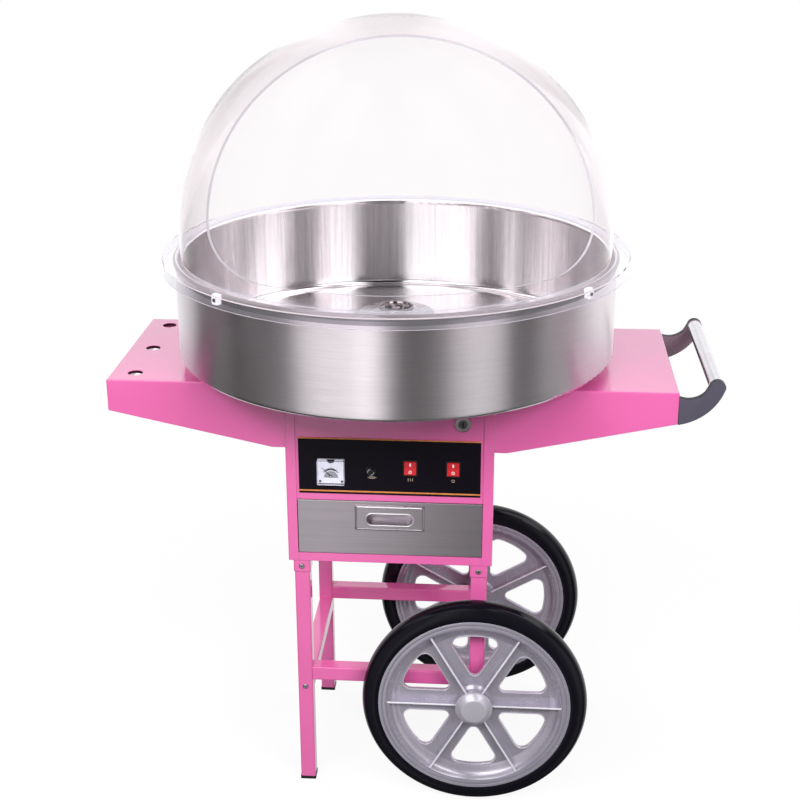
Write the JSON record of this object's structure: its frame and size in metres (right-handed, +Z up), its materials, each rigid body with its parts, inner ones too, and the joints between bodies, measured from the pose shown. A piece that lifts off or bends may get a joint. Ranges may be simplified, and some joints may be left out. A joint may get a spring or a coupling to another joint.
{
  "type": "candy floss cart",
  "caption": "Electric candy floss machine on a two-wheeled cart: round steel pan with a clear dome, spinner head, control cabinet with drawer, side shelves and a push handle.",
  "frame": {"origin": "middle of the footprint's bounding box, on the floor that the wheels and the two feet stand on", "axes": "+Z up; -Y is the front, with the controls, the drawer and the dome's opening; +X is the side with the wheels and the push handle"},
  "size_m": [0.9632, 0.748, 1.2793],
  "materials": {
    "pink_paint": "glossy powder coat",
    "brushed_steel": "circumferential brushing",
    "drawer_steel": "horizontal brushing",
    "zinc_steel": "zinc plated",
    "screw_steel": "plated",
    "chrome": "polished",
    "bracket_plastic": "fine moulded grain",
    "foot_rubber": "moulded",
    "tyre_rubber": "smooth, semi-gloss",
    "wheel_plastic": "silver metallic paint",
    "panel_black": "printed film with two thin orange lines",
    "black_plastic": "moulded",
    "meter_face": "white dial on a black case",
    "needle_black": "painted",
    "meter_clear": "clear",
    "rocker_red": "translucent red",
    "clear_acrylic": "clear, polished edges",
    "motor_casting": "cast",
    "core_steel": "laminated",
    "bearing_steel": "ground",
    "contact_brass": "turned",
    "head_aluminium": "turned",
    "heater_alloy": "heat tinted"
  },
  "bodies": {
    "frame": {"left_side_panel": "pink_paint", "right_side_panel": "pink_paint", "back_panel": "pink_paint", "cabinet_floor": "pink_paint", "front_fascia": "pink_paint", "cabinet_top": "pink_paint", "left_shelf": "pink_paint", "right_shelf": "pink_paint", "front_left_leg": "pink_paint", "rear_left_leg": "pink_paint", "front_right_leg": "pink_paint", "rear_right_leg": "pink_paint", "cross_rails": "pink_paint", "side_rails": "pink_paint", "pan": "brushed_steel", "motor_deck": "zinc_steel", "drawer_runners": "zinc_steel", "pan_seat": "zinc_steel", "frame_screws": "screw_steel", "axle": "screw_steel", "axle_fasteners": "screw_steel", "handle_grip": "chrome", "lock_barrel": "chrome", "front_handle_bracket": "bracket_plastic", "rear_handle_bracket": "bracket_plastic", "foot_caps": "foot_rubber", "control_panel": "panel_black", "fuse_holder": "black_plastic", "switch_bezels": "black_plastic", "brush_gear": "black_plastic", "power_inlet": "black_plastic", "meter_case": "meter_face", "meter_lens": "meter_clear", "motor_housing": "motor_casting", "motor_end_cap": "motor_casting", "motor_stator": "core_steel", "motor_bearings": "bearing_steel"},
    "head": {"spindle": "core_steel", "slip_rings": "contact_brass", "head_base": "head_aluminium", "heater_ribbon": "heater_alloy", "head_band": "head_aluminium", "head_lid": "head_aluminium"},
    "drawer": {"drawer_front": "drawer_steel", "drawer_pull": "drawer_steel", "drawer_tray": "drawer_steel"},
    "front_wheel": {"front_wheel_rim": "wheel_plastic", "front_tyre": "tyre_rubber", "front_hub_cap": "wheel_plastic"},
    "rear_wheel": {"rear_wheel_rim": "wheel_plastic", "rear_tyre": "tyre_rubber", "rear_hub_cap": "wheel_plastic"},
    "dome_cover": {"dome": "clear_acrylic", "dome_clips": "clear_acrylic", "clip_screws": "screw_steel"},
    "heat_switch": {"heat_rocker": "rocker_red"},
    "power_switch": {"power_rocker": "rocker_red"},
    "fuse_carrier": {"fuse_cap": "black_plastic"},
    "lock_cylinder": {"lock_plug": "chrome"},
    "pointer": {"meter_needle": "needle_black"}
  },
  "joints": [
    {"name": "head_spin", "type": "hinge", "parent": "frame", "child": "head", "pos_m": [-0.03455, 0, 0.762], "axis": [0, 0, 1], "continuous": true},
    {"name": "drawer_slide", "type": "slide", "parent": "frame", "child": "drawer", "axis": [0, -1, 0], "range_m": [0, 0.22]},
    {"name": "front_wheel_spin", "type": "hinge", "parent": "frame", "child": "front_wheel", "pos_m": [0.10715, -0.1802, 0.187], "axis": [0, 1, 0], "continuous": true},
    {"name": "rear_wheel_spin", "type": "hinge", "parent": "frame", "child": "rear_wheel", "pos_m": [0.10715, 0.1875, 0.187], "axis": [0, 1, 0], "continuous": true},
    {"name": "dome_lift", "type": "slide", "parent": "frame", "child": "dome_cover", "axis": [0, 0, 1], "range_m": [0, 0.25]},
    {"name": "heat_rock", "type": "hinge", "parent": "frame", "child": "heat_switch", "pos_m": [-0.00105, -0.15875, 0.5975], "axis": [1, 0, 0], "range_deg": [0, 14]},
    {"name": "power_rock", "type": "hinge", "parent": "frame", "child": "power_switch", "pos_m": [0.06695, -0.15875, 0.5975], "axis": [1, 0, 0], "range_deg": [0, 14]},
    {"name": "fuse_turn", "type": "hinge", "parent": "frame", "child": "fuse_carrier", "pos_m": [-0.06355, -0.16, 0.591], "axis": [0, -1, 0], "range_deg": [0, 90]},
    {"name": "lock_turn", "type": "hinge", "parent": "frame", "child": "lock_cylinder", "pos_m": [0.08145, -0.16, 0.674], "axis": [0, 1, 0], "range_deg": [0, 90]},
    {"name": "pointer_swing", "type": "hinge", "parent": "frame", "child": "pointer", "pos_m": [-0.12755, -0.161, 0.5805], "axis": [0, 1, 0], "range_deg": [0, 90], "stiffness_Nm_per_rad": 0.00002}
  ]
}
